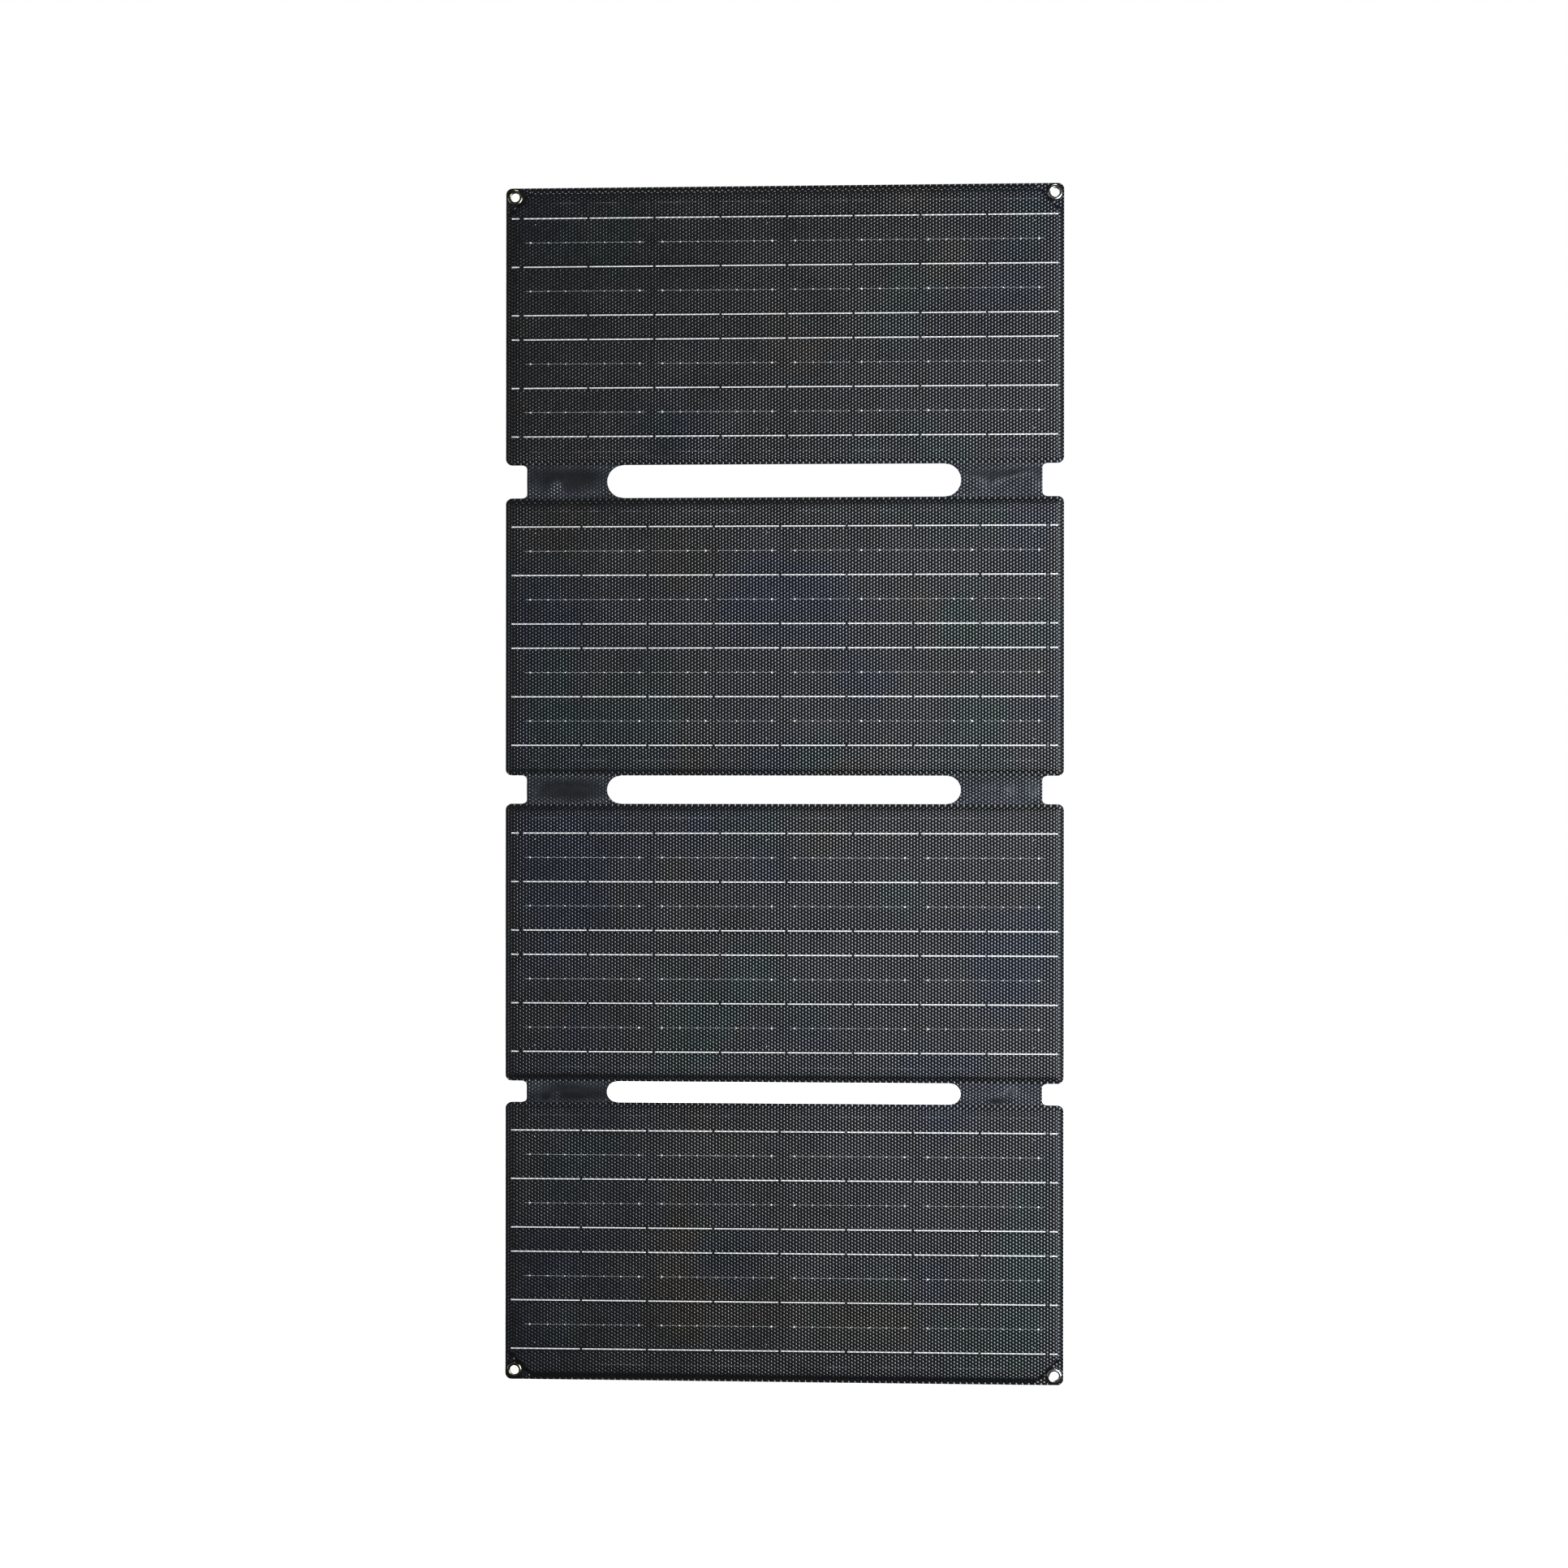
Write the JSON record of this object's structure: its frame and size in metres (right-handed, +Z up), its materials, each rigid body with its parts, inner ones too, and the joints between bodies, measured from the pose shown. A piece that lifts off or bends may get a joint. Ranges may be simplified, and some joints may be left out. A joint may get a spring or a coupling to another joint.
{
  "type": "folding solar blanket",
  "caption": "Folding solar blanket of stiff laminated cell panels joined by soft fold webs, with metal corner eyelets and a junction box behind the top panel",
  "frame": {"origin": "centre of the top pair of eyelets, at the middle of the laminate's thickness", "axes": "X across the blanket, Y behind it, Z up; the cells face -Y and it hangs straight down from its top eyelets"},
  "size_m": [0.404, 0.0228, 0.8647],
  "materials": {
    "front_film": "clear embossed film over near-black cells",
    "back_fabric": "black coated woven polyester",
    "web_fabric": "film and woven fabric bonded into one soft web",
    "backing_board": "glass-fibre laminate",
    "encapsulant": "clear melted sheet",
    "silicon_cell": "blue-black silicon under an anti-reflection coat",
    "tinned_ribbon": "flat copper ribbon, tin coated",
    "eyelet_metal": "nickel-plated brass, polished by use",
    "box_plastic": "moulded black plastic, fine grain",
    "seal_rubber": "soft black seal",
    "cover_rubber": "moulded black rubber",
    "screw_steel": "zinc-plated steel",
    "board_green": "green solder resist",
    "socket_metal": "drawn steel shell",
    "socket_plastic": "black moulded socket",
    "chip_plastic": "black epoxy",
    "ferrite": "grey ferrite",
    "capacitor_can": "drawn aluminium can",
    "light_lens": "green light guide"
  },
  "bodies": {
    "panel_1": {"panel_1_back_fabric": "back_fabric", "panel_1_backing_board": "backing_board", "panel_1_encapsulant": "encapsulant", "panel_1_cells": "silicon_cell", "panel_1_ribbons": "tinned_ribbon", "panel_1_bus_ribbons": "tinned_ribbon", "panel_1_front_film": "front_film", "top_eyelets": "eyelet_metal", "top_eyelet_washers": "eyelet_metal", "box_base": "box_plastic", "box_lid": "box_plastic", "box_gasket": "seal_rubber", "lid_screws": "screw_steel", "circuit_board": "board_green", "output_leads": "tinned_ribbon", "usb_a_socket": "socket_metal", "usb_c_socket": "socket_metal", "dc_socket": "socket_plastic", "bypass_diode": "chip_plastic", "controller_chip": "chip_plastic", "inductor": "ferrite", "capacitors": "capacitor_can", "status_light": "light_lens", "port_cover_pin": "screw_steel"},
    "panel_2": {"panel_2_back_fabric": "back_fabric", "panel_2_backing_board": "backing_board", "panel_2_encapsulant": "encapsulant", "panel_2_cells": "silicon_cell", "panel_2_ribbons": "tinned_ribbon", "panel_2_bus_ribbons": "tinned_ribbon", "panel_2_front_film": "front_film"},
    "panel_3": {"panel_3_back_fabric": "back_fabric", "panel_3_backing_board": "backing_board", "panel_3_encapsulant": "encapsulant", "panel_3_cells": "silicon_cell", "panel_3_ribbons": "tinned_ribbon", "panel_3_bus_ribbons": "tinned_ribbon", "panel_3_front_film": "front_film"},
    "panel_4": {"panel_4_back_fabric": "back_fabric", "panel_4_backing_board": "backing_board", "panel_4_encapsulant": "encapsulant", "panel_4_cells": "silicon_cell", "panel_4_ribbons": "tinned_ribbon", "panel_4_bus_ribbons": "tinned_ribbon", "panel_4_front_film": "front_film", "bottom_eyelets": "eyelet_metal", "bottom_eyelet_washers": "eyelet_metal"},
    "fold_12_spine": {"fold_12_web_left": "web_fabric", "fold_12_web_right": "web_fabric", "fold_12_series_link": "tinned_ribbon", "fold_12_return_lead": "tinned_ribbon"},
    "fold_23_spine": {"fold_23_web_left": "web_fabric", "fold_23_web_right": "web_fabric", "fold_23_series_link": "tinned_ribbon", "fold_23_return_lead": "tinned_ribbon"},
    "fold_34_spine": {"fold_34_web_left": "web_fabric", "fold_34_web_right": "web_fabric", "fold_34_series_link": "tinned_ribbon", "fold_34_return_lead": "tinned_ribbon"},
    "port_cover": {"port_cover": "cover_rubber"}
  },
  "joints": [
    {"name": "fold_12_upper", "type": "hinge", "parent": "panel_1", "child": "fold_12_spine", "pos_m": [0, 0.00095, -0.20025], "axis": [-1, 0, 0], "range_deg": [-30, 90], "deforming": ["fold_12_web_left", "fold_12_web_right", "fold_12_series_link", "fold_12_return_lead"]},
    {"name": "fold_12_lower", "type": "hinge", "parent": "fold_12_spine", "child": "panel_2", "pos_m": [0, 0.00095, -0.21295], "axis": [-1, 0, 0], "range_deg": [-30, 90]},
    {"name": "fold_23_upper", "type": "hinge", "parent": "panel_2", "child": "fold_23_spine", "pos_m": [0, 0.00095, -0.4255], "axis": [-1, 0, 0], "range_deg": [-30, 90], "deforming": ["fold_23_web_left", "fold_23_web_right", "fold_23_series_link", "fold_23_return_lead"]},
    {"name": "fold_23_lower", "type": "hinge", "parent": "fold_23_spine", "child": "panel_3", "pos_m": [0, 0.00095, -0.4346], "axis": [-1, 0, 0], "range_deg": [-30, 90]},
    {"name": "fold_34_upper", "type": "hinge", "parent": "panel_3", "child": "fold_34_spine", "pos_m": [0, 0.00095, -0.64645], "axis": [-1, 0, 0], "range_deg": [-30, 90], "deforming": ["fold_34_web_left", "fold_34_web_right", "fold_34_series_link", "fold_34_return_lead"]},
    {"name": "fold_34_lower", "type": "hinge", "parent": "fold_34_spine", "child": "panel_4", "pos_m": [0, 0.00095, -0.65195], "axis": [-1, 0, 0], "range_deg": [-30, 90]},
    {"name": "port_cover_hinge", "type": "hinge", "parent": "panel_1", "child": "port_cover", "pos_m": [0.0506, 0.015, -0.062], "axis": [0, 0, 1], "range_deg": [0, 150]}
  ],
  "couplings": [
    {"joint": "fold_12_lower", "follows": "fold_12_upper", "ratio": 1},
    {"joint": "fold_23_lower", "follows": "fold_23_upper", "ratio": 1},
    {"joint": "fold_34_lower", "follows": "fold_34_upper", "ratio": 1}
  ]
}
